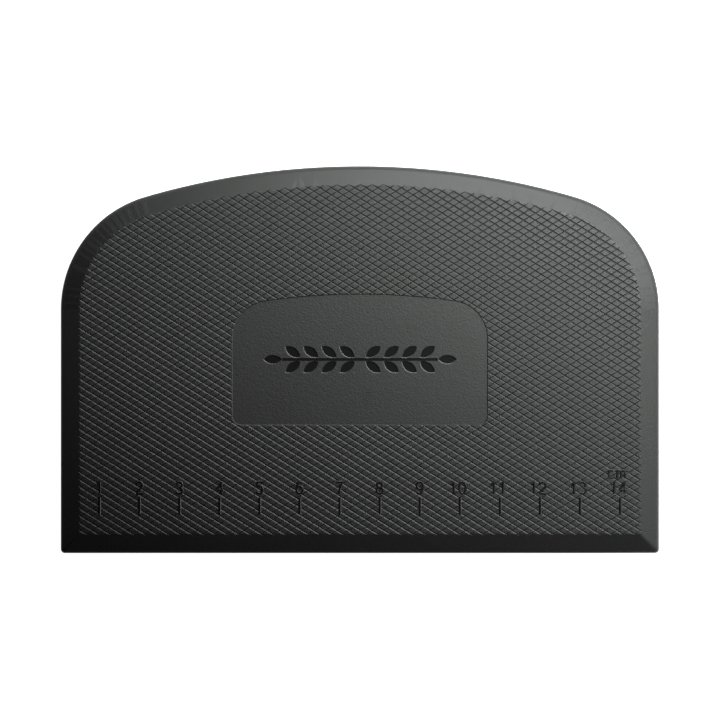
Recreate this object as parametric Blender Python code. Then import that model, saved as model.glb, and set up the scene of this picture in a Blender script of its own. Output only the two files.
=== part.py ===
"""Bench scraper: a soft moulded body with thin bevelled lips, built around a flat steel core plate.

The scraper lies on its back. X runs along the straight scraping edge, Y runs from that edge (-Y) to the
arched grip edge (+Y), and Z is the thickness, with the marked front face up. The origin is under the
middle of the scraper, on the surface that it lies on.
"""

import math

import bmesh
import bpy

MM = 0.001

# Outline: a rectangle whose top edge is a shallow arch that runs into two large shoulders
WIDTH = 149.6 * MM
HEIGHT = 96.8 * MM
ARCH_RADIUS = 191.5 * MM
SHOULDER_RADIUS = 29.3 * MM
FOOT_RADIUS = 1.0 * MM

# Section: a flat plateau front and back, and a bevel down to a thin lip all round, rounded as an ellipse
THICKNESS = 4.0 * MM
LIP_THICKNESS = 2.0 * MM
LIP_REACH = 2.0 * MM
BEVEL_WIDTH = 4.9 * MM
PLATEAU_FOOT_RADIUS = 0.3 * MM

# Smooth panel in the middle of each face, with the same arched form as the outline
PANEL_WIDTH = 63.9 * MM
PANEL_HEIGHT = 32.9 * MM
PANEL_ARCH_RADIUS = 166.0 * MM
PANEL_SHOULDER_RADIUS = 9.5 * MM
PANEL_FOOT_RADIUS = 2.2 * MM
PANEL_DEPTH = 0.2 * MM

# Emblem on the front panel: two ears of wheat, end to end, sunk below the panel
EMBLEM_LENGTH = 48.4 * MM
EMBLEM_HEIGHT = 6.6 * MM
EMBLEM_DEPTH = 0.35 * MM
KERNEL_LENGTH = 4.8 * MM
KERNEL_WIDTH = 2.4 * MM
KERNEL_TILT = math.radians(36)
KERNEL_PAIRS = 4
STEM_WIDTH = 0.7 * MM
EAR_START = 1.3 * MM

# Centimetre ruler: raised ticks and figures on the front plateau
RULER_MARKS = 14
RULER_PITCH = 10.0 * MM
TICK_BOTTOM = 9.8 * MM
TICK_LENGTH = 4.2 * MM
TICK_WIDTH = 0.7 * MM
FIGURE_BOTTOM = 15.0 * MM
FIGURE_HEIGHT = 2.85 * MM
FIGURE_ADVANCE = 0.8
FIGURE_STROKE = 0.62 * MM
PAIR_SHIFT = 0.5 * MM
UNIT_BOTTOM = 18.9 * MM
UNIT_ADVANCE = 0.76
UNIT_SHIFT = 0.5 * MM
MARK_HEIGHT = 0.2 * MM
MARK_TOP_SHARE = 0.35

# Steel core plate in the middle of the thickness, and the soft pillars that pass through its holes
CORE_THICKNESS = 0.8 * MM
CORE_MARGIN = 8.0 * MM
CORE_FOOT_RADIUS = 4.0 * MM
CORE_GAP = 0.2 * MM
ANCHOR_RADIUS = 3.0 * MM
ANCHOR_PLACES = [(-48, -25), (-16, -25), (16, -25), (48, -25), (-48, 6), (48, 6), (-18, 28), (18, 28)]

# Round marks on the back, left by the mould's pins that hold the core in place
PIN_RADIUS = 1.3 * MM
PIN_PLACES = [(-56, -34), (56, -34), (-40, 24), (40, 24)]

ARC_STEPS = 20
FOOT_STEPS = 4
RIM_STEPS = 4
ROUND_STEPS = 24
OVERLAP = 0.5 * MM

MIDDLE = THICKNESS / 2


def arc(centre_x, centre_y, radius_x, radius_y, start, end, steps):
    """Points of an elliptical arc, both ends included. Angles are in degrees."""
    points = []
    for step in range(steps + 1):
        angle = math.radians(start + (end - start) * step / steps)
        points.append((centre_x + radius_x * math.cos(angle), centre_y + radius_y * math.sin(angle)))
    return points


def arched_outline(width, height, arch_radius, shoulder_radius, foot, inset=0.0):
    """Anticlockwise points of the arched rectangle, centred on the origin and drawn in by inset.

    foot is the radius of the lower corners, which stays as it is given.
    """
    half_width = width / 2 - inset
    bottom = -height / 2 + inset
    shoulder = shoulder_radius - inset
    shoulder_x = width / 2 - shoulder_radius
    arch_y = height / 2 - arch_radius
    rise = math.sqrt((arch_radius - shoulder_radius) ** 2 - shoulder_x**2)
    shoulder_y = arch_y + rise
    tangent = math.degrees(math.atan2(rise, shoulder_x))
    arch = arch_radius - inset
    points = arc(half_width - foot, bottom + foot, foot, foot, -90, 0, FOOT_STEPS)
    points += arc(shoulder_x, shoulder_y, shoulder, shoulder, 0, tangent, ARC_STEPS)
    points += arc(0, arch_y, arch, arch, tangent, 180 - tangent, ARC_STEPS)[1:-1]
    points += arc(-shoulder_x, shoulder_y, shoulder, shoulder, 180 - tangent, 180, ARC_STEPS)
    points += arc(-half_width + foot, bottom + foot, foot, foot, 180, 270, FOOT_STEPS)
    return points


def body_outline(inset):
    """The scraper's outline at one height of its section. The lower corners tighten towards the plateau."""
    share = inset / BEVEL_WIDTH
    foot = FOOT_RADIUS + (PLATEAU_FOOT_RADIUS - FOOT_RADIUS) * share
    return arched_outline(WIDTH, HEIGHT, ARCH_RADIUS, SHOULDER_RADIUS, foot, inset)


def core_outline(margin):
    """The core plate's outline, this far inside the scraper's own."""
    return arched_outline(WIDTH, HEIGHT, ARCH_RADIUS, SHOULDER_RADIUS, CORE_FOOT_RADIUS, margin)


def panel_outline():
    return arched_outline(
        PANEL_WIDTH, PANEL_HEIGHT, PANEL_ARCH_RADIUS, PANEL_SHOULDER_RADIUS, PANEL_FOOT_RADIUS
    )


def add_loft(shape, rings):
    """Adds a closed body through rings of (points, height), from the lowest to the highest."""
    loops = []
    for points, height in rings:
        loops.append([shape.verts.new((x, y, height)) for x, y in points])
    for lower, upper in zip(loops, loops[1:]):
        for index in range(len(lower)):
            after = (index + 1) % len(lower)
            shape.faces.new((lower[index], lower[after], upper[after], upper[index]))
    shape.faces.new(reversed(loops[0]))
    shape.faces.new(loops[-1])


def add_prism(shape, points, low, high):
    add_loft(shape, [(points, low), (points, high)])


def add_rod(shape, place, radius, low, high):
    """Adds an upright cylinder at a place given in millimetres."""
    x, y = place
    add_prism(shape, arc(x * MM, y * MM, radius, radius, 0, 360, ROUND_STEPS)[:-1], low, high)


def add_ribbon(shape, points, width, closed=False):
    """Adds a raised stroke along points: as wide as width on the plateau, with sloping flanks above it."""
    count = len(points)
    half = width / 2
    narrow = half * MARK_TOP_SHARE
    low = THICKNESS - OVERLAP
    high = THICKNESS + MARK_HEIGHT
    flank = [(half, THICKNESS), (half, low), (-half, low), (-half, THICKNESS)]
    section = flank + [(-narrow, high), (narrow, high)]
    rings = []
    for index, (x, y) in enumerate(points):
        before = points[index - 1] if closed or index else points[0]
        after = points[(index + 1) % count] if closed or index + 1 < count else points[-1]
        run = (after[0] - before[0], after[1] - before[1])
        length = math.hypot(*run)
        across = (-run[1] / length, run[0] / length)
        corners = [(x + side * across[0], y + side * across[1], z) for side, z in section]
        rings.append([shape.verts.new(corner) for corner in corners])
    spans = zip(rings, rings[1:] + rings[:1]) if closed else zip(rings, rings[1:])
    for first, second in spans:
        for index in range(len(first)):
            after = (index + 1) % len(first)
            shape.faces.new((first[index], first[after], second[after], second[index]))
    if not closed:
        shape.faces.new(reversed(rings[0]))
        shape.faces.new(rings[-1])


def add_object(name, shape, material=None):
    """Makes an object from a bmesh. Without a material it is a cutter or another helper."""
    bmesh.ops.recalc_face_normals(shape, faces=shape.faces)
    mesh = bpy.data.meshes.new(name)
    shape.to_mesh(mesh)
    shape.free()
    thing = bpy.data.objects.new(name, mesh)
    bpy.context.scene.collection.objects.link(thing)
    if material:
        mesh.materials.append(material)
    else:
        thing.hide_render = True
        thing.display_type = "WIRE"
    return thing


def combine(thing, operation, helper, crossing=False):
    """Adds a Boolean. crossing says that the helper's own bodies run through each other."""
    modifier = thing.modifiers.new(helper.name, "BOOLEAN")
    modifier.operation = operation
    modifier.use_self = crossing
    modifier.object = helper


def make_material(name, colour, roughness, metallic):
    material = bpy.data.materials.new(name)
    material.use_nodes = True
    shader = material.node_tree.nodes["Principled BSDF"]
    shader.inputs["Base Color"].default_value = (*colour, 1)
    shader.inputs["Roughness"].default_value = roughness
    shader.inputs["Metallic"].default_value = metallic
    return material


def lip_sweep():
    """How far the lip's ellipse turns, from its tip, to where the bevel touches it without a kink."""
    across = (BEVEL_WIDTH - LIP_REACH) / LIP_REACH
    up = MIDDLE / (LIP_THICKNESS / 2)
    return math.pi - math.atan2(up, across) - math.acos(1 / math.hypot(across, up))


def make_blank():
    """The solid outside of the body: plateau, bevel, rounded lip, bevel, plateau."""
    rings = [(body_outline(BEVEL_WIDTH), 0)]
    for step in range(RIM_STEPS + 1):
        angle = lip_sweep() * (2 * step / RIM_STEPS - 1)
        inset = LIP_REACH * (1 - math.cos(angle))
        rings.append((body_outline(inset), MIDDLE + LIP_THICKNESS / 2 * math.sin(angle)))
    rings.append((body_outline(BEVEL_WIDTH), THICKNESS))
    shape = bmesh.new()
    add_loft(shape, rings)
    return shape


def make_cavity():
    """The room that the core plate fills."""
    reach = CORE_THICKNESS / 2 + CORE_GAP
    shape = bmesh.new()
    add_prism(shape, core_outline(CORE_MARGIN - CORE_GAP), MIDDLE - reach, MIDDLE + reach)
    return shape


def make_pillars():
    """The soft pillars that join front and back through the core's holes."""
    reach = CORE_THICKNESS / 2 + CORE_GAP + OVERLAP
    shape = bmesh.new()
    for place in ANCHOR_PLACES:
        add_rod(shape, place, ANCHOR_RADIUS - CORE_GAP, MIDDLE - reach, MIDDLE + reach)
    return shape


def make_pin_holes():
    shape = bmesh.new()
    for place in PIN_PLACES:
        add_rod(shape, place, PIN_RADIUS, -OVERLAP, MIDDLE - CORE_THICKNESS / 2)
    return shape


def make_panels():
    """The two shallow recesses, one in each face."""
    shape = bmesh.new()
    add_prism(shape, panel_outline(), THICKNESS - PANEL_DEPTH, THICKNESS + OVERLAP)
    add_prism(shape, panel_outline(), -OVERLAP, PANEL_DEPTH)
    return shape


def kernel_outline(tip_x, tip_y, tilt):
    """A pointed seed between two equal arcs, its inner tip at the place given."""
    half = KERNEL_LENGTH / 2
    bulge = KERNEL_WIDTH / 2
    radius = (half**2 + bulge**2) / (2 * bulge)
    spread = math.degrees(math.asin(half / radius))
    side = arc(half, bulge - radius, radius, radius, 90 - spread, 90 + spread, 6)
    points = side[:-1] + [(2 * half - x, -y) for x, y in side[:-1]]
    return [
        (tip_x + x * math.cos(tilt) - y * math.sin(tilt), tip_y + x * math.sin(tilt) + y * math.cos(tilt))
        for x, y in points
    ]


def make_emblem():
    """The recess of the two ears: a stem, kernels in pairs along it, and one kernel at each end."""
    low = THICKNESS - PANEL_DEPTH - EMBLEM_DEPTH
    high = THICKNESS + OVERLAP
    end = EMBLEM_LENGTH / 2 - KERNEL_LENGTH
    pitch = (end - EAR_START) / KERNEL_PAIRS
    root = EMBLEM_HEIGHT / 2 - KERNEL_LENGTH * math.sin(KERNEL_TILT)
    shape = bmesh.new()
    stem = [(-end, STEM_WIDTH / -2), (end, STEM_WIDTH / -2), (end, STEM_WIDTH / 2), (-end, STEM_WIDTH / 2)]
    add_prism(shape, stem, low, high)
    for pair in range(KERNEL_PAIRS):
        x = EAR_START + pair * pitch
        for side in (1, -1):
            add_prism(shape, kernel_outline(x, side * root, side * KERNEL_TILT), low, high)
            add_prism(shape, kernel_outline(-x, side * root, math.pi - side * KERNEL_TILT), low, high)
    add_prism(shape, kernel_outline(end, 0, 0), low, high)
    add_prism(shape, kernel_outline(-end, 0, math.pi), low, high)
    return shape


def glyph_strokes(character):
    """Strokes of a plain figure or letter in a cell one high: (points, whether the stroke is a loop)."""
    loops = {
        "0": [arc(0.28, 0.5, 0.28, 0.5, 0, 360, 16)],
        "6": [arc(0.28, 0.31, 0.27, 0.31, 0, 360, 14)],
        "8": [arc(0.28, 0.76, 0.23, 0.24, 0, 360, 12), arc(0.28, 0.27, 0.28, 0.27, 0, 360, 14)],
        "9": [arc(0.28, 0.69, 0.27, 0.31, 0, 360, 14)],
    }
    strokes = {
        "1": [[(0.06, 0.76), (0.34, 1.0)], [(0.32, 0), (0.32, 1.0)]],
        "2": [arc(0.28, 0.72, 0.27, 0.28, 165, -35, 8) + [(0.0, 0.02)], [(0, 0), (0.57, 0)]],
        "3": [
            arc(0.26, 0.76, 0.25, 0.24, 155, -90, 9),
            arc(0.26, 0.26, 0.29, 0.26, 90, -155, 9),
        ],
        "4": [[(0.44, 0), (0.44, 1.0)], [(0.46, 1.0), (0.0, 0.3)], [(0, 0.3), (0.6, 0.3)]],
        "5": [
            [(0.52, 1.0), (0.1, 1.0)],
            [(0.12, 1.0), (0.05, 0.5)],
            arc(0.27, 0.33, 0.28, 0.33, 140, -150, 10),
        ],
        "6": [arc(0.34, 0.34, 0.33, 0.66, 180, 60, 8)],
        "7": [[(0, 1.0), (0.55, 1.0)], [(0.55, 1.0), (0.33, 0.6), (0.2, 0)]],
        "9": [arc(0.22, 0.66, 0.33, 0.66, 0, -120, 8)],
        "c": [arc(0.28, 0.33, 0.28, 0.33, 45, 315, 10)],
        "m": [
            [(0, 0), (0, 0.66)],
            arc(0.165, 0.48, 0.165, 0.18, 180, 0, 6) + [(0.33, 0)],
            arc(0.495, 0.48, 0.165, 0.18, 180, 0, 6) + [(0.66, 0)],
        ],
    }
    found = [(points[:-1], True) for points in loops.get(character, [])]
    return found + [(points, False) for points in strokes.get(character, [])]


def add_text(shape, text, centre_x, bottom, advance=FIGURE_ADVANCE):
    """Adds raised characters, centred on centre_x. advance is the pitch of the cells, in heights."""
    left = centre_x - FIGURE_HEIGHT * (advance * (len(text) - 1) + 0.58) / 2
    for index, character in enumerate(text):
        start = left + index * advance * FIGURE_HEIGHT
        for points, closed in glyph_strokes(character):
            placed = [(start + x * FIGURE_HEIGHT, bottom + y * FIGURE_HEIGHT) for x, y in points]
            add_ribbon(shape, placed, FIGURE_STROKE, closed)


def make_marks():
    """The ruler: a tick and a figure each centimetre, and the unit over the last one."""
    edge = -HEIGHT / 2
    shape = bmesh.new()
    for mark in range(1, RULER_MARKS + 1):
        x = (mark - (RULER_MARKS + 1) / 2) * RULER_PITCH
        tick = [(x, edge + TICK_BOTTOM), (x, edge + TICK_BOTTOM + TICK_LENGTH)]
        add_ribbon(shape, tick, TICK_WIDTH)
        figure_x = x if mark < 10 else x - PAIR_SHIFT
        add_text(shape, str(mark), figure_x, edge + FIGURE_BOTTOM)
    add_text(shape, "cm", figure_x - UNIT_SHIFT, edge + UNIT_BOTTOM, UNIT_ADVANCE)
    return shape


def make_body():
    rubber = make_material("charcoal_rubber", (0.02, 0.021, 0.02), 0.6, 0.0)
    body = add_object("moulded_body", make_blank(), rubber)
    combine(body, "DIFFERENCE", add_object("core_cavity", make_cavity()))
    combine(body, "UNION", add_object("anchor_pillars", make_pillars()))
    combine(body, "DIFFERENCE", add_object("pin_holes", make_pin_holes()))
    combine(body, "DIFFERENCE", add_object("panel_recesses", make_panels()))
    combine(body, "DIFFERENCE", add_object("emblem_recess", make_emblem()), crossing=True)
    combine(body, "UNION", add_object("ruler_marks", make_marks()), crossing=True)


def make_core():
    steel = make_material("spring_steel", (0.62, 0.62, 0.61), 0.32, 1.0)
    plate = bmesh.new()
    half = CORE_THICKNESS / 2
    add_prism(plate, core_outline(CORE_MARGIN), MIDDLE - half, MIDDLE + half)
    core = add_object("core_plate", plate, steel)
    holes = bmesh.new()
    for place in ANCHOR_PLACES:
        add_rod(holes, place, ANCHOR_RADIUS, MIDDLE - half - OVERLAP, MIDDLE + half + OVERLAP)
    combine(core, "DIFFERENCE", add_object("anchor_holes", holes))


for leftover in list(bpy.data.objects):
    bpy.data.objects.remove(leftover)
make_body()
make_core()
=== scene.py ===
"""Looks of the bench scraper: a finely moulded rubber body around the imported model's steel core plate."""

import math

import bmesh
import bpy
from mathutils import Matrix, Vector


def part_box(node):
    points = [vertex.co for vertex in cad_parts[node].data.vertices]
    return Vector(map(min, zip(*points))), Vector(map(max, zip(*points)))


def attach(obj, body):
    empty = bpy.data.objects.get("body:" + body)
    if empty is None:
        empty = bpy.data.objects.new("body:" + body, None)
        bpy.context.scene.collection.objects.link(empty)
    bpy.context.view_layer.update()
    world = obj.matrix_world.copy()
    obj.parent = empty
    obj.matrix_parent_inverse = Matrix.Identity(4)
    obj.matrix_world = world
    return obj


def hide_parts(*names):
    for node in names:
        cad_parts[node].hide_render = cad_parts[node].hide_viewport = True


MM = 0.001

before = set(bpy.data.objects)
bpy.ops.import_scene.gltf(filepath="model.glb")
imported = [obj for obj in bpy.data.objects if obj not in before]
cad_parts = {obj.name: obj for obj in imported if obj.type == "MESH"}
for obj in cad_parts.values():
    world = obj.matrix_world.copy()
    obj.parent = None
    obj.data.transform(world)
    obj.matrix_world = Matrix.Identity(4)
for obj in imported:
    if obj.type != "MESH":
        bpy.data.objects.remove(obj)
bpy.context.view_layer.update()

# ---------------------------------------------------------------- sizes
# The outline's width and height come from the frame; the rest repeats the design's own dimensions.
BODY_LOW, BODY_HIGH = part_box("moulded_body")
CORE_LOW, CORE_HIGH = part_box("core_plate")
WIDTH = BODY_HIGH.x - BODY_LOW.x
HEIGHT = BODY_HIGH.y - BODY_LOW.y
MARK_HEIGHT = 0.2 * MM
THICKNESS = BODY_HIGH.z - MARK_HEIGHT
MIDDLE = THICKNESS / 2

ARCH_RADIUS = 191.5 * MM
SHOULDER_RADIUS = 29.3 * MM
FOOT_RADIUS = 1.0 * MM
LIP_REACH = 2.0 * MM
LIP_HALF = 1.0 * MM
BEVEL_WIDTH = 4.9 * MM
PLATEAU_FOOT_RADIUS = 0.3 * MM
PLATEAU_EDGE_RADIUS = 1.2 * MM

PANEL_WIDTH = 63.9 * MM
PANEL_HEIGHT = 32.9 * MM
PANEL_ARCH_RADIUS = 166.0 * MM
PANEL_SHOULDER_RADIUS = 9.5 * MM
PANEL_FOOT_RADIUS = 2.2 * MM
PANEL_DEPTH = 0.2 * MM
PANEL_WALL = 0.22 * MM
PANEL_FLOOR = THICKNESS - PANEL_DEPTH

# Diamond grip: two families of V-grooves that cross, each (lean, width, depth)
DIAMOND_WIDTH = 2.91 * MM
DIAMOND_HEIGHT = 1.80 * MM
DIAMOND_OFFSET = Vector((0.04 * MM, 0.49 * MM, 0))
GROOVE_FAMILIES = [(-1, 0.54 * MM, 0.098 * MM), (1, 0.26 * MM, 0.13 * MM)]
GROOVE_DEEPEST = max(depth for _, _, depth in GROOVE_FAMILIES)
GROOVE_TILTS = [math.atan2(depth, width / 2) for _, width, depth in GROOVE_FAMILIES]
GROOVE_RISE = 0.1 * MM

EMBLEM_LENGTH = 48.4 * MM
EMBLEM_HEIGHT = 6.6 * MM
EMBLEM_DEPTH = 0.35 * MM
EMBLEM_FLOOR = PANEL_FLOOR - EMBLEM_DEPTH
KERNEL_LENGTH = 4.8 * MM
KERNEL_WIDTH = 2.4 * MM
KERNEL_TILT = math.radians(36)
KERNEL_CHAMFER = 0.18 * MM
KERNEL_CHAMFER_DROP = 0.05 * MM
KERNEL_WALL = 0.06 * MM
KERNEL_PAIRS = 4
STEM_WIDTH = 0.7 * MM
EAR_START = 1.3 * MM
EAR_END = EMBLEM_LENGTH / 2 - KERNEL_LENGTH

RULER_MARKS = 14
RULER_PITCH = 10.0 * MM
TICK_BOTTOM = 9.8 * MM
TICK_LENGTH = 4.2 * MM
TICK_WIDTH = 0.7 * MM
FIGURE_BOTTOM = 15.0 * MM
FIGURE_HEIGHT = 2.85 * MM
FIGURE_WIDTH = 0.58
FIGURE_ADVANCE = 0.8
FIGURE_STROKE = 0.62 * MM
PAIR_SHIFT = 0.5 * MM
UNIT_BOTTOM = 18.9 * MM
UNIT_ADVANCE = 0.76
UNIT_SHIFT = 0.5 * MM

GATE_PLACE = (2.0 * MM, -9.0 * MM)
GATE_REACH = 2.5 * MM
GATE_POLISH = 0.09

CORE_MARGIN = WIDTH / 2 - CORE_HIGH.x
CORE_FOOT_RADIUS = 4.0 * MM
CORE_GAP = 0.2 * MM
CAVITY_REACH = (CORE_HIGH.z - CORE_LOW.z) / 2 + CORE_GAP
ANCHOR_RADIUS = 3.0 * MM
ANCHOR_PLACES = [(-48, -25), (-16, -25), (16, -25), (48, -25), (-48, 6), (48, 6), (-18, 28), (18, 28)]
PIN_RADIUS = 1.3 * MM
PIN_PLACES = [(-56, -34), (56, -34), (-40, 24), (40, 24)]

ARC_STEPS = 56
FOOT_STEPS = 12
LIP_STEPS = 12
EDGE_STEPS = 4
ROUND_STEPS = 40
KERNEL_STEPS = 14
MARK_STEPS = 8
CLEAR = 0.5 * MM
LEVEL_TOLERANCE = 0.01 * MM
TILT_TOLERANCE = math.radians(0.5)
SHARP_ANGLE = math.radians(12)

# The moulding's material slots, after the grained rubber in slot 0
POLISHED = 1
SMOOTH = 2
SATIN = 3

RUBBER_COLOUR = (0.0100, 0.0100, 0.0098, 1)
POLISHED_COLOUR = (0.006, 0.006, 0.006, 1)

# Noise in features per metre, and the depth of each surface's bumps
GRAIN_SCALE = 3600
COARSE_SCALE = 1500
MOTTLE_SCALE = 900
PATCH_SCALE = 70
GRAIN_DEPTH = 0.045 * MM
COARSE_DEPTH = 0.035 * MM
SMOOTH_DEPTH = 0.012 * MM
SATIN_DEPTH = 0.008 * MM
POLISHED_DEPTH = 0.004 * MM
BRUSHED_DEPTH = 0.003 * MM

# Camera and light
VIEW_DISTANCE = 1.0
VIEW_WIDTH = 179.7 * MM
SENSOR_WIDTH = 36.0
VIEW_OFFSET = (0.01 * MM, -0.12 * MM)
FLOOR_REACH = 4.0
FLOOR_DROP = 0.02 * MM
# The floor's glow for all rays but the camera's: painted light, dim on one side and bright beyond the right
# and top edges
FLOOR_DIM = 0.3
FLOOR_BRIGHT = 3.0
FLOOR_BRIGHT_SIDE = (0.8, 0.6, 0)
FLOOR_FADE = (15 * MM, 30 * MM)
WORLD_DIM = 0.01
LIGHT_COLOUR = (0.955, 1.0, 0.97)

# Area lights: name, place, target, size, power
SOFTBOXES = [
    ("key", (0.132, 0.149, 0.357), (0.373, 0.500, 0), (0.314, 0.270), 8.5),
    ("right_strip", (0.5, 0.1, 0.11), (0, 0.1, 0.11), (1.0, 0.12), 2.2),
    ("top_strip", (0.1, 0.5, 0.11), (0.1, 0, 0.11), (1.0, 0.12), 2.2),
]


# ---------------------------------------------------------------- outlines
def arc(centre_x, centre_y, radius_x, radius_y, start, end, steps):
    """Points of an elliptical arc, both ends included. Angles are in degrees."""
    points = []
    for step in range(steps + 1):
        angle = math.radians(start + (end - start) * step / steps)
        points.append((centre_x + radius_x * math.cos(angle), centre_y + radius_y * math.sin(angle)))
    return points


def arched_outline(width, height, arch_radius, shoulder_radius, foot_radius, inset=0.0):
    """Anticlockwise points of the arched rectangle, centred on the origin and drawn in by inset."""
    half_width = width / 2 - inset
    bottom = -height / 2 + inset
    foot = foot_radius
    shoulder = shoulder_radius - inset
    shoulder_x = width / 2 - shoulder_radius
    arch_y = height / 2 - arch_radius
    rise = math.sqrt((arch_radius - shoulder_radius) ** 2 - shoulder_x**2)
    tangent = math.degrees(math.atan2(rise, shoulder_x))
    arch = arch_radius - inset
    points = arc(half_width - foot, bottom + foot, foot, foot, -90, 0, FOOT_STEPS)
    points += arc(shoulder_x, arch_y + rise, shoulder, shoulder, 0, tangent, ARC_STEPS)
    points += arc(0, arch_y, arch, arch, tangent, 180 - tangent, ARC_STEPS)[1:-1]
    points += arc(-shoulder_x, arch_y + rise, shoulder, shoulder, 180 - tangent, 180, ARC_STEPS)
    points += arc(-half_width + foot, bottom + foot, foot, foot, 180, 270, FOOT_STEPS)
    return points


def body_outline(inset):
    """The scraper's outline at one height of its section. The lower corners tighten towards the plateau."""
    share = min(inset / BEVEL_WIDTH, 1)
    foot = FOOT_RADIUS + (PLATEAU_FOOT_RADIUS - FOOT_RADIUS) * share
    return arched_outline(WIDTH, HEIGHT, ARCH_RADIUS, SHOULDER_RADIUS, foot, inset)


def panel_outline(inset):
    return arched_outline(
        PANEL_WIDTH, PANEL_HEIGHT, PANEL_ARCH_RADIUS, PANEL_SHOULDER_RADIUS, PANEL_FOOT_RADIUS, inset
    )


# ---------------------------------------------------------------- solids
def add_loft(shape, rings):
    """Adds a closed body through rings of (points, height), from the lowest to the highest."""
    loops = []
    for points, height in rings:
        loops.append([shape.verts.new((x, y, height)) for x, y in points])
    for lower, upper in zip(loops, loops[1:]):
        for index in range(len(lower)):
            after = (index + 1) % len(lower)
            shape.faces.new((lower[index], lower[after], upper[after], upper[index]))
    shape.faces.new(reversed(loops[0]))
    shape.faces.new(loops[-1])


def add_prism(shape, points, low, high):
    add_loft(shape, [(points, low), (points, high)])


def add_rod(shape, place, radius, low, high):
    """Adds an upright cylinder at a place given in millimetres."""
    x, y = place
    add_prism(shape, arc(x * MM, y * MM, radius, radius, 0, 360, ROUND_STEPS)[:-1], low, high)


def add_chain(shape, sections, closed=False):
    """Adds a bar through cross-sections with the same number of corners, with ends unless it is a loop."""
    rings = [[shape.verts.new(corner) for corner in section] for section in sections]
    count = len(rings[0])
    spans = zip(rings, rings[1:] + rings[:1]) if closed else zip(rings, rings[1:])
    for first, second in spans:
        for index in range(count):
            after = (index + 1) % count
            shape.faces.new((first[index], first[after], second[after], second[index]))
    if not closed:
        shape.faces.new(reversed(rings[0]))
        shape.faces.new(rings[-1])


def add_ribbon(shape, points, width, closed=False):
    """Adds a raised stroke along points: as wide as width on the plateau, with a rounded back."""
    count = len(points)
    half = width / 2
    back = arc(0, THICKNESS, half, MARK_HEIGHT, 0, 180, MARK_STEPS)
    profile = [(half, THICKNESS - CLEAR)] + back + [(-half, THICKNESS - CLEAR)]
    sections = []
    for index, (x, y) in enumerate(points):
        before = points[index - 1] if closed or index else points[0]
        after = points[(index + 1) % count] if closed or index + 1 < count else points[-1]
        run = Vector((after[0] - before[0], after[1] - before[1])).normalized()
        sections.append([Vector((x - side * run.y, y + side * run.x, z)) for side, z in profile])
    add_chain(shape, sections, closed)


def solid_object(name, shape):
    bmesh.ops.recalc_face_normals(shape, faces=shape.faces)
    mesh = bpy.data.meshes.new(name)
    shape.to_mesh(mesh)
    shape.free()
    thing = bpy.data.objects.new(name, mesh)
    bpy.context.scene.collection.objects.link(thing)
    return thing


def carve(body, steps):
    """Runs the Booleans in steps, each (operation, bmesh), and leaves their result in the body's mesh."""
    helpers = []
    for operation, shape in steps:
        helper = solid_object("helper", shape)
        modifier = body.modifiers.new("carve", "BOOLEAN")
        modifier.operation = operation
        modifier.solver = "MANIFOLD"
        modifier.object = helper
        helpers.append(helper)
    graph = bpy.context.evaluated_depsgraph_get()
    carved = bpy.data.meshes.new_from_object(body.evaluated_get(graph))
    body.modifiers.clear()
    plain = body.data
    body.data = carved
    bpy.data.meshes.remove(plain)
    for helper in helpers:
        mesh = helper.data
        bpy.data.objects.remove(helper)
        bpy.data.meshes.remove(mesh)


# ---------------------------------------------------------------- the moulding's shapes
def lip_sweep():
    """How far the lip's ellipse turns, from its tip, to where the bevel touches it without a kink."""
    across = (BEVEL_WIDTH - LIP_REACH) / LIP_REACH
    up = MIDDLE / LIP_HALF
    return math.pi - math.atan2(up, across) - math.acos(1 / math.hypot(across, up))


def blank():
    """The outside: plateau, softened edge, bevel, rounded lip, and the same again below."""
    sweep = lip_sweep()
    slope = math.atan2(LIP_HALF * math.cos(sweep), LIP_REACH * math.sin(sweep))
    tangent = PLATEAU_EDGE_RADIUS * math.tan(slope / 2)
    upper = []
    for step in range(LIP_STEPS + 1):
        angle = sweep * step / LIP_STEPS
        upper.append((LIP_REACH * (1 - math.cos(angle)), LIP_HALF * math.sin(angle)))
    for step in range(EDGE_STEPS + 1):
        angle = slope * (1 - step / EDGE_STEPS)
        inset = BEVEL_WIDTH + tangent - PLATEAU_EDGE_RADIUS * math.sin(angle)
        upper.append((inset, MIDDLE - PLATEAU_EDGE_RADIUS * (1 - math.cos(angle))))
    section = [(inset, -height) for inset, height in reversed(upper[1:])] + upper
    shape = bmesh.new()
    add_loft(shape, [(body_outline(inset), MIDDLE + height) for inset, height in section])
    return shape


def grooves(lean, width, depth):
    """One family of V-grooves over both faces. lean is 1 for grooves that rise to the right, or -1."""
    along = Vector((DIAMOND_WIDTH, lean * DIAMOND_HEIGHT, 0)).normalized()
    across = Vector((-along.y, along.x, 0))
    pitch = DIAMOND_WIDTH * DIAMOND_HEIGHT / math.hypot(DIAMOND_WIDTH, DIAMOND_HEIGHT)
    reach = math.hypot(WIDTH, HEIGHT) / 2
    lines = math.ceil(reach / pitch)
    half = width / 2 * (depth + GROOVE_RISE) / depth
    shape = bmesh.new()
    for line in range(-lines, lines + 1):
        middle = DIAMOND_OFFSET + across * line * pitch
        for level, up in ((THICKNESS, 1), (0, -1)):
            bottom = Vector((0, 0, level - up * depth))
            top = Vector((0, 0, level + up * GROOVE_RISE))
            corners = (middle + bottom, middle + top + across * half, middle + top - across * half)
            ends = (-along * reach, along * reach)
            add_chain(shape, [[corner + end for corner in corners] for end in ends])
    return shape


def panels():
    """The recesses of the smooth panels, front and back, with sloping walls."""
    floor, rim = panel_outline(PANEL_WALL), panel_outline(0)
    shape = bmesh.new()
    add_loft(shape, [(floor, THICKNESS - PANEL_DEPTH), (rim, THICKNESS), (rim, THICKNESS + CLEAR)])
    add_loft(shape, [(rim, -CLEAR), (rim, 0), (floor, PANEL_DEPTH)])
    return shape


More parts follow.
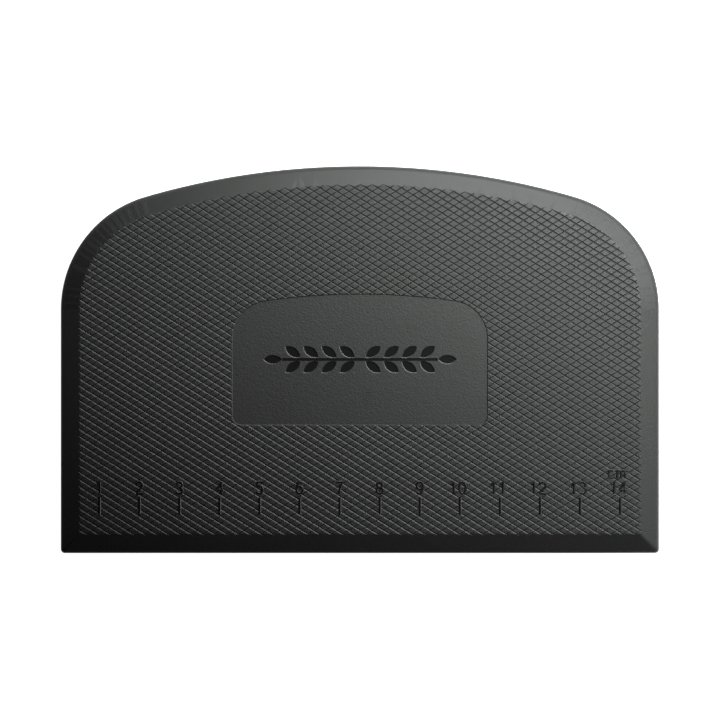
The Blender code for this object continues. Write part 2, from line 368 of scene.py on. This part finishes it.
def kernel_outline(tip_x, tip_y, tilt, inset):
    """A pointed seed between two equal arcs, its inner tip at the place given, drawn in by inset."""
    half = KERNEL_LENGTH / 2
    bulge = KERNEL_WIDTH / 2
    radius = (half**2 + bulge**2) / (2 * bulge)
    centre_y = bulge - radius
    inner = radius - inset
    opening = math.degrees(math.acos(-centre_y / inner))
    side = arc(half, centre_y, inner, inner, 90 - opening, 90 + opening, KERNEL_STEPS)
    points = side[:-1] + [(2 * half - x, -y) for x, y in side[:-1]]
    return [
        (tip_x + x * math.cos(tilt) - y * math.sin(tilt), tip_y + x * math.sin(tilt) + y * math.cos(tilt))
        for x, y in points
    ]


def add_kernel(shape, tip_x, tip_y, tilt):
    """Adds the cutter of one kernel: its floor, a steep wall, and a shallow chamfer round its rim."""
    levels = [
        (KERNEL_CHAMFER + KERNEL_WALL, EMBLEM_FLOOR),
        (KERNEL_CHAMFER, PANEL_FLOOR - KERNEL_CHAMFER_DROP),
        (0, PANEL_FLOOR),
        (0, THICKNESS + CLEAR),
    ]
    add_loft(shape, [(kernel_outline(tip_x, tip_y, tilt, inset), height) for inset, height in levels])


def emblem_kernels():
    """The kernels of two ears of wheat, end to end: pairs along the stem, and one at each end."""
    pitch = (EAR_END - EAR_START) / KERNEL_PAIRS
    root = EMBLEM_HEIGHT / 2 - KERNEL_LENGTH * math.sin(KERNEL_TILT)
    shape = bmesh.new()
    for pair in range(KERNEL_PAIRS):
        x = EAR_START + pair * pitch
        for side in (1, -1):
            add_kernel(shape, x, side * root, side * KERNEL_TILT)
            add_kernel(shape, -x, side * root, math.pi - side * KERNEL_TILT)
    add_kernel(shape, EAR_END, 0, 0)
    add_kernel(shape, -EAR_END, 0, math.pi)
    return shape


def emblem_stem():
    shape = bmesh.new()
    half = STEM_WIDTH / 2
    stem = [(-EAR_END, -half), (EAR_END, -half), (EAR_END, half), (-EAR_END, half)]
    add_prism(shape, stem, EMBLEM_FLOOR, THICKNESS + CLEAR)
    return shape


def glyph_strokes(character):
    """Strokes of a plain figure or letter in a cell one high: (points, whether the stroke is a loop)."""
    loops = {
        "0": [arc(0.28, 0.5, 0.28, 0.5, 0, 360, 28)],
        "6": [arc(0.28, 0.31, 0.27, 0.31, 0, 360, 24)],
        "8": [arc(0.28, 0.76, 0.23, 0.24, 0, 360, 20), arc(0.28, 0.27, 0.28, 0.27, 0, 360, 24)],
        "9": [arc(0.28, 0.69, 0.27, 0.31, 0, 360, 24)],
    }
    strokes = {
        "1": [[(0.06, 0.76), (0.34, 1.0)], [(0.32, 0), (0.32, 1.0)]],
        "2": [arc(0.28, 0.72, 0.27, 0.28, 165, -35, 14) + [(0.0, 0.02)], [(0, 0), (0.57, 0)]],
        "3": [arc(0.26, 0.76, 0.25, 0.24, 155, -90, 14), arc(0.26, 0.26, 0.29, 0.26, 90, -155, 14)],
        "4": [[(0.44, 0), (0.44, 1.0)], [(0.46, 1.0), (0.0, 0.3)], [(0, 0.3), (0.6, 0.3)]],
        "5": [
            [(0.52, 1.0), (0.1, 1.0)],
            [(0.12, 1.0), (0.05, 0.5)],
            arc(0.27, 0.33, 0.28, 0.33, 140, -150, 16),
        ],
        "6": [arc(0.34, 0.34, 0.33, 0.66, 180, 60, 12)],
        "7": [[(0, 1.0), (0.55, 1.0)], [(0.55, 1.0), (0.33, 0.6), (0.2, 0)]],
        "9": [arc(0.22, 0.66, 0.33, 0.66, 0, -120, 12)],
        "c": [arc(0.28, 0.33, 0.28, 0.33, 45, 315, 16)],
        "m": [
            [(0, 0), (0, 0.66)],
            arc(0.165, 0.48, 0.165, 0.18, 180, 0, 10) + [(0.33, 0)],
            arc(0.495, 0.48, 0.165, 0.18, 180, 0, 10) + [(0.66, 0)],
        ],
    }
    found = [(points[:-1], True) for points in loops.get(character, [])]
    return found + [(points, False) for points in strokes.get(character, [])]


def ruler_strokes():
    """Every stroke of the ruler, as (place in its character, points, width, whether it is a loop)."""
    edge = -HEIGHT / 2
    strokes = []

    def write(text, centre_x, bottom, advance=FIGURE_ADVANCE):
        left = centre_x - FIGURE_HEIGHT * (advance * (len(text) - 1) + FIGURE_WIDTH) / 2
        for index, character in enumerate(text):
            start = left + index * advance * FIGURE_HEIGHT
            for place, (points, closed) in enumerate(glyph_strokes(character)):
                placed = [(start + x * FIGURE_HEIGHT, bottom + y * FIGURE_HEIGHT) for x, y in points]
                strokes.append((place, placed, FIGURE_STROKE, closed))

    for mark in range(1, RULER_MARKS + 1):
        x = (mark - (RULER_MARKS + 1) / 2) * RULER_PITCH
        tick = [(x, edge + TICK_BOTTOM), (x, edge + TICK_BOTTOM + TICK_LENGTH)]
        strokes.append((0, tick, TICK_WIDTH, False))
        figure_x = x if mark < 10 else x - PAIR_SHIFT
        write(str(mark), figure_x, edge + FIGURE_BOTTOM)
    write("cm", figure_x - UNIT_SHIFT, edge + UNIT_BOTTOM, UNIT_ADVANCE)
    return strokes


def ruler_layers():
    """The ruler's strokes in layers, each free of crossings, because strokes cross only in a character."""
    strokes = ruler_strokes()
    layers = []
    for layer in sorted({place for place, _, _, _ in strokes}):
        shape = bmesh.new()
        for place, points, width, closed in strokes:
            if place == layer:
                add_ribbon(shape, points, width, closed)
        layers.append(shape)
    return layers


def cavity():
    """The room of the core plate."""
    outline = arched_outline(
        WIDTH, HEIGHT, ARCH_RADIUS, SHOULDER_RADIUS, CORE_FOOT_RADIUS, CORE_MARGIN - CORE_GAP
    )
    shape = bmesh.new()
    add_prism(shape, outline, MIDDLE - CAVITY_REACH, MIDDLE + CAVITY_REACH)
    return shape


def pillars():
    shape = bmesh.new()
    reach = CAVITY_REACH + CLEAR
    for place in ANCHOR_PLACES:
        add_rod(shape, place, ANCHOR_RADIUS - CORE_GAP, MIDDLE - reach, MIDDLE + reach)
    return shape


def pin_holes():
    shape = bmesh.new()
    for place in PIN_PLACES:
        add_rod(shape, place, PIN_RADIUS, -CLEAR, CORE_LOW.z)
    return shape


# ---------------------------------------------------------------- materials
def new_material(name):
    material = bpy.data.materials.new(name)
    material.use_nodes = True
    tree = material.node_tree
    return material, tree, tree.nodes["Principled BSDF"]


def noise(tree, scale, detail=2.0, rough=0.5):
    """A noise over the object's own coordinates; scale is in features per metre."""
    coordinates = tree.nodes.new("ShaderNodeTexCoord")
    texture = tree.nodes.new("ShaderNodeTexNoise")
    texture.inputs["Scale"].default_value = scale
    texture.inputs["Detail"].default_value = detail
    texture.inputs["Roughness"].default_value = rough
    tree.links.new(coordinates.outputs["Object"], texture.inputs["Vector"])
    return texture.outputs["Fac"]


def spread(tree, value, low, high, start=0.0, end=1.0):
    """Maps a value from the range start to end onto the range low to high."""
    node = tree.nodes.new("ShaderNodeMapRange")
    node.inputs["From Min"].default_value = start
    node.inputs["From Max"].default_value = end
    node.inputs["To Min"].default_value = low
    node.inputs["To Max"].default_value = high
    tree.links.new(value, node.inputs["Value"])
    return node.outputs["Result"]


def bump(tree, height, distance, normal=None):
    node = tree.nodes.new("ShaderNodeBump")
    node.inputs["Distance"].default_value = distance
    tree.links.new(height, node.inputs["Height"])
    if normal:
        tree.links.new(normal, node.inputs["Normal"])
    return node.outputs["Normal"]


def add(tree, first, second):
    node = tree.nodes.new("ShaderNodeMath")
    tree.links.new(first, node.inputs[0])
    tree.links.new(second, node.inputs[1])
    return node.outputs["Value"]


def gate_mark(tree):
    """How much smoother the faint round mark of the mould's gate is, under the emblem."""
    coordinates = tree.nodes.new("ShaderNodeTexCoord")
    distance = tree.nodes.new("ShaderNodeVectorMath")
    distance.operation = "DISTANCE"
    distance.inputs[1].default_value = (*GATE_PLACE, THICKNESS)
    tree.links.new(coordinates.outputs["Object"], distance.inputs[0])
    fade = spread(tree, distance.outputs["Value"], -GATE_POLISH, 0.0, 0.0, GATE_REACH)
    fade.node.interpolation_type = "SMOOTHSTEP"
    return fade


def rubber_material():
    material, tree, shader = new_material("charcoal_rubber_fine")
    shader.inputs["Base Color"].default_value = RUBBER_COLOUR
    shader.inputs["Metallic"].default_value = 0.0
    shader.inputs["Specular IOR Level"].default_value = 0.5
    grain = noise(tree, GRAIN_SCALE, 2.0, 0.6)
    mottle = spread(tree, noise(tree, MOTTLE_SCALE, 3.0, 0.6), 0.46, 0.50)
    speckle = spread(tree, grain, -0.12, 0.12)
    patches = spread(tree, noise(tree, PATCH_SCALE), -0.03, 0.05)
    roughness = add(tree, add(tree, mottle, speckle), add(tree, patches, gate_mark(tree)))
    tree.links.new(roughness, shader.inputs["Roughness"])
    fine = bump(tree, grain, GRAIN_DEPTH)
    coarse = bump(tree, noise(tree, COARSE_SCALE), COARSE_DEPTH, fine)
    tree.links.new(coarse, shader.inputs["Normal"])
    return material


def mottled_material(name, colour, smoothest, roughest, depth):
    """A surface of slightly uneven roughness, with fine bumps."""
    material, tree, shader = new_material(name)
    shader.inputs["Base Color"].default_value = colour
    roughness = spread(tree, noise(tree, MOTTLE_SCALE, 3.0, 0.6), smoothest, roughest)
    tree.links.new(roughness, shader.inputs["Roughness"])
    tree.links.new(bump(tree, noise(tree, GRAIN_SCALE, 2.0, 0.6), depth), shader.inputs["Normal"])
    return material


def groove_material():
    """The walls of the grip's grooves and of the emblem, smoother than the grained lands."""
    return mottled_material("smooth_rubber", RUBBER_COLOUR, 0.38, 0.44, SMOOTH_DEPTH)


def mark_material():
    """The ruler's raised strokes, from finely finished engraving in the mould."""
    return mottled_material("satin_rubber", POLISHED_COLOUR, 0.22, 0.30, SATIN_DEPTH)


def gloss_material():
    """The polished floor of the emblem."""
    material, tree, shader = new_material("polished_rubber")
    shader.inputs["Base Color"].default_value = POLISHED_COLOUR
    shader.inputs["Roughness"].default_value = 0.22
    tree.links.new(bump(tree, noise(tree, COARSE_SCALE), POLISHED_DEPTH), shader.inputs["Normal"])
    return material


def steel_material():
    material, tree, shader = new_material("spring_steel_fine")
    shader.inputs["Base Color"].default_value = (0.62, 0.62, 0.61, 1)
    shader.inputs["Metallic"].default_value = 1.0
    coordinates = tree.nodes.new("ShaderNodeTexCoord")
    stretch = tree.nodes.new("ShaderNodeMapping")
    stretch.inputs["Scale"].default_value = (60, 6000, 6000)
    texture = tree.nodes.new("ShaderNodeTexNoise")
    texture.inputs["Scale"].default_value = 1.0
    tree.links.new(coordinates.outputs["Object"], stretch.inputs["Vector"])
    tree.links.new(stretch.outputs["Vector"], texture.inputs["Vector"])
    tree.links.new(spread(tree, texture.outputs["Fac"], 0.22, 0.42), shader.inputs["Roughness"])
    tree.links.new(bump(tree, texture.outputs["Fac"], BRUSHED_DEPTH), shader.inputs["Normal"])
    return material


# ---------------------------------------------------------------- pieces
def in_groove(face):
    """Whether a face is a wall of the grip's grooves, by its depth below a plateau and its tilt."""
    depth = MIDDLE - abs(face.center.z - MIDDLE)
    tilt = math.acos(min(abs(face.normal.z), 1))
    tilted = any(abs(tilt - wanted) < TILT_TOLERANCE for wanted in GROOVE_TILTS)
    return tilted and 0 < depth < GROOVE_DEEPEST


def sharpen_borders(mesh):
    """Makes the edges between different materials sharp, also where the faces meet at a small angle."""
    materials = {}
    for face in mesh.polygons:
        for key in face.edge_keys:
            materials.setdefault(key, set()).add(face.material_index)
    for edge in mesh.edges:
        if len(materials[edge.key]) > 1:
            edge.use_edge_sharp = True


def make_body():
    body = solid_object("moulded_body_fine", blank())
    steps = [("DIFFERENCE", grooves(*family)) for family in GROOVE_FAMILIES]
    steps += [("DIFFERENCE", panels()), ("DIFFERENCE", emblem_kernels()), ("DIFFERENCE", emblem_stem())]
    steps += [("UNION", layer) for layer in ruler_layers()]
    steps += [("DIFFERENCE", cavity()), ("UNION", pillars()), ("DIFFERENCE", pin_holes())]
    carve(body, steps)
    mesh = body.data
    mesh.materials.clear()
    for material in (rubber_material(), gloss_material(), groove_material(), mark_material()):
        mesh.materials.append(material)
    for face in mesh.polygons:
        height = face.center.z
        if abs(height - EMBLEM_FLOOR) < LEVEL_TOLERANCE:
            face.material_index = POLISHED
        elif in_groove(face) or EMBLEM_FLOOR < height < PANEL_FLOOR - LEVEL_TOLERANCE:
            face.material_index = SMOOTH
        elif height > THICKNESS + LEVEL_TOLERANCE:
            face.material_index = SATIN
    mesh.shade_smooth()
    mesh.set_sharp_from_angle(angle=SHARP_ANGLE)
    sharpen_borders(mesh)
    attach(body, "root")
    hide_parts("moulded_body")


def dress_core():
    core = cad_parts["core_plate"]
    core.data.materials.clear()
    core.data.materials.append(steel_material())


# ---------------------------------------------------------------- studio
def white_to_camera(tree):
    """A mixer that gives 1 to camera rays, and its input A to all other rays."""
    node = tree.nodes.new("ShaderNodeMix")
    rays = tree.nodes.new("ShaderNodeLightPath")
    tree.links.new(rays.outputs["Is Camera Ray"], node.inputs["Factor"])
    node.inputs["B"].default_value = 1.0
    return node


def make_floor():
    """A floor that the camera sees as plain white. To all other rays it glows as painted light: brightly
    beyond the scraper's right and top edges, for the rubber's lip and bevel to mirror, and dimly everywhere
    else."""
    shape = bmesh.new()
    bmesh.ops.create_grid(shape, x_segments=1, y_segments=1, size=FLOOR_REACH)
    floor = solid_object("floor", shape)
    floor.location.z = -FLOOR_DROP
    material, tree, shader = new_material("white_floor")
    shader.inputs["Base Color"].default_value = (0.9, 0.9, 0.9, 1)
    shader.inputs["Roughness"].default_value = 0.9
    shader.inputs["Emission Color"].default_value = (1, 1, 1, 1)
    place = tree.nodes.new("ShaderNodeTexCoord")
    towards = tree.nodes.new("ShaderNodeVectorMath")
    towards.operation = "DOT_PRODUCT"
    towards.inputs[1].default_value = FLOOR_BRIGHT_SIDE
    tree.links.new(place.outputs["Object"], towards.inputs[0])
    glow = spread(tree, towards.outputs["Value"], FLOOR_DIM, FLOOR_BRIGHT, *FLOOR_FADE)
    strength = white_to_camera(tree)
    tree.links.new(glow, strength.inputs["A"])
    tree.links.new(strength.outputs["Result"], shader.inputs["Emission Strength"])
    floor.data.materials.append(material)


def make_softbox(name, place, target, size, power):
    light = bpy.data.lights.new(name, "AREA")
    light.shape = "RECTANGLE"
    light.size, light.size_y = size
    light.energy = power
    light.color = LIGHT_COLOUR
    box = bpy.data.objects.new(name, light)
    box.location = place
    box.rotation_euler = (Vector(target) - Vector(place)).to_track_quat("-Z", "Y").to_euler()
    box.visible_camera = False
    bpy.context.scene.collection.objects.link(box)


def make_world():
    """Dark surroundings for the rubber to mirror, which the camera sees as white."""
    world = bpy.data.worlds.new("studio")
    world.use_nodes = True
    tree = world.node_tree
    background = tree.nodes["Background"]
    background.inputs["Color"].default_value = (1, 1, 1, 1)
    strength = white_to_camera(tree)
    strength.inputs["A"].default_value = WORLD_DIM
    tree.links.new(strength.outputs["Result"], background.inputs["Strength"])
    bpy.context.scene.world = world


def make_camera():
    camera = bpy.data.cameras.new("camera")
    camera.sensor_width = SENSOR_WIDTH
    camera.lens = SENSOR_WIDTH * VIEW_DISTANCE / VIEW_WIDTH
    camera.clip_end = 20
    eye = bpy.data.objects.new("camera", camera)
    eye.location = (*VIEW_OFFSET, THICKNESS + VIEW_DISTANCE)
    bpy.context.scene.collection.objects.link(eye)
    bpy.context.scene.camera = eye


make_body()
dress_core()
make_floor()
make_world()
make_camera()
for softbox in SOFTBOXES:
    make_softbox(*softbox)
bpy.context.scene.view_settings.view_transform = "Standard"
